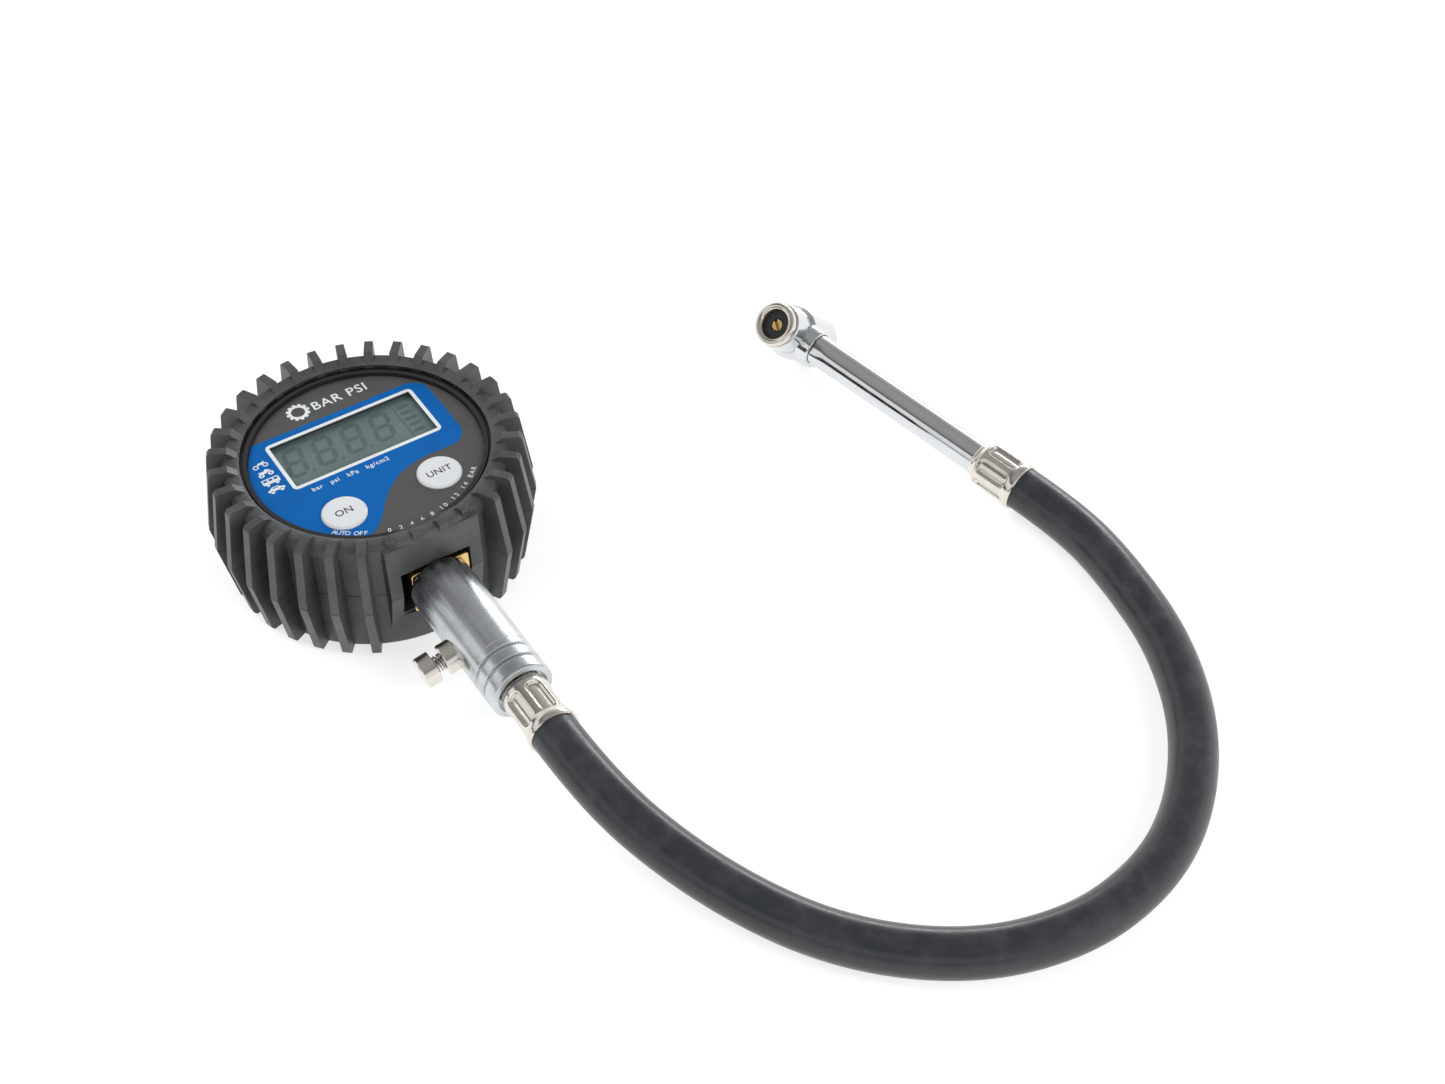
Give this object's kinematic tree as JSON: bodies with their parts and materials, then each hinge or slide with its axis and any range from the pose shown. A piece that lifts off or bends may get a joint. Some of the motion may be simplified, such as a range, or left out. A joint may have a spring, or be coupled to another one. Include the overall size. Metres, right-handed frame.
{
  "type": "tyre pressure gauge with hose and air chuck",
  "caption": "Round digital tyre pressure gauge in a finned rubber boot, with a steel stem, push-button bleed valve, rubber hose and two-way air chuck.",
  "frame": {"origin": "middle of the rubber boot's flat back face, on the dial's axis", "axes": "+Z out of the dial, +X to the reader's right across the display, -Y along the stem towards the hose"},
  "size_m": [0.193, 0.2347, 0.0355],
  "materials": {
    "boot_rubber": "matte moulded rubber",
    "case_plastic": "fine matte black moulding",
    "face_print": "printed film, blue and charcoal",
    "window_clear": "clear polished",
    "display_glass": "grey-green reflective display",
    "button_white": "satin white moulding",
    "board_green": "green solder mask",
    "silicone": "translucent silicone",
    "seal_rubber": "smooth black rubber",
    "cell_steel": "plated steel can",
    "spring_steel": "drawn wire and plated strip",
    "screw_steel": "zinc-plated",
    "brass": "machined brass",
    "zinc_steel": "turned steel, zinc-plated, slightly stained",
    "nickel": "bright nickel plate",
    "chrome": "polished chrome plate",
    "hose_rubber": "smooth extruded rubber"
  },
  "bodies": {
    "gauge": {"boot_upper": "boot_rubber", "boot_lower": "boot_rubber", "case_body": "case_plastic", "case_front": "case_plastic", "face_panel": "face_print", "case_screws": "screw_steel", "lcd_window": "window_clear", "lcd_glass": "display_glass", "lcd_frame": "case_plastic", "zebra_strips": "seal_rubber", "circuit_board": "board_green", "on_dome": "silicone", "unit_dome": "silicone", "battery_tray": "case_plastic", "battery_front": "cell_steel", "battery_back": "cell_steel", "battery_contacts": "spring_steel", "battery_door": "case_plastic", "door_screw": "screw_steel", "pressure_sensor": "cell_steel", "brass_fitting": "brass", "stem": "zinc_steel", "bleed_body": "nickel", "bleed_spring": "spring_steel", "ferrule_gauge_end": "nickel", "ferrule_chuck_end": "nickel", "hose_barb": "brass", "hose": "hose_rubber", "chuck_tube": "chrome", "chuck_body": "chrome", "front_cap": "nickel", "rear_cap": "nickel", "front_seal": "seal_rubber", "rear_seal": "seal_rubber", "front_spring": "spring_steel", "rear_spring": "spring_steel"},
    "on_button": {"on_button": "button_white"},
    "unit_button": {"unit_button": "button_white"},
    "bleed_button": {"bleed_button": "nickel", "bleed_seal": "seal_rubber"},
    "front_pin": {"front_pin": "brass"},
    "rear_pin": {"rear_pin": "brass"}
  },
  "joints": [
    {"name": "on_button_press", "type": "slide", "parent": "gauge", "child": "on_button", "axis": [0, 0, -1], "range_m": [0, 0.0005], "stiffness_N_per_m": 2000, "deforming": ["on_dome"]},
    {"name": "unit_button_press", "type": "slide", "parent": "gauge", "child": "unit_button", "axis": [0, 0, -1], "range_m": [0, 0.0005], "stiffness_N_per_m": 2000, "deforming": ["unit_dome"]},
    {"name": "bleed_press", "type": "slide", "parent": "gauge", "child": "bleed_button", "axis": [0.9799, 0, 0.1994], "range_m": [0, 0.001], "stiffness_N_per_m": 3000, "deforming": ["bleed_spring"]},
    {"name": "front_pin_press", "type": "slide", "parent": "gauge", "child": "front_pin", "axis": [0.6826, 0.1606, -0.7129], "range_m": [0, 0.0015], "stiffness_N_per_m": 1500, "deforming": ["front_spring"]},
    {"name": "rear_pin_press", "type": "slide", "parent": "gauge", "child": "rear_pin", "axis": [-0.6826, -0.1606, 0.7129], "range_m": [0, 0.0015], "stiffness_N_per_m": 1500, "deforming": ["rear_spring"]}
  ]
}
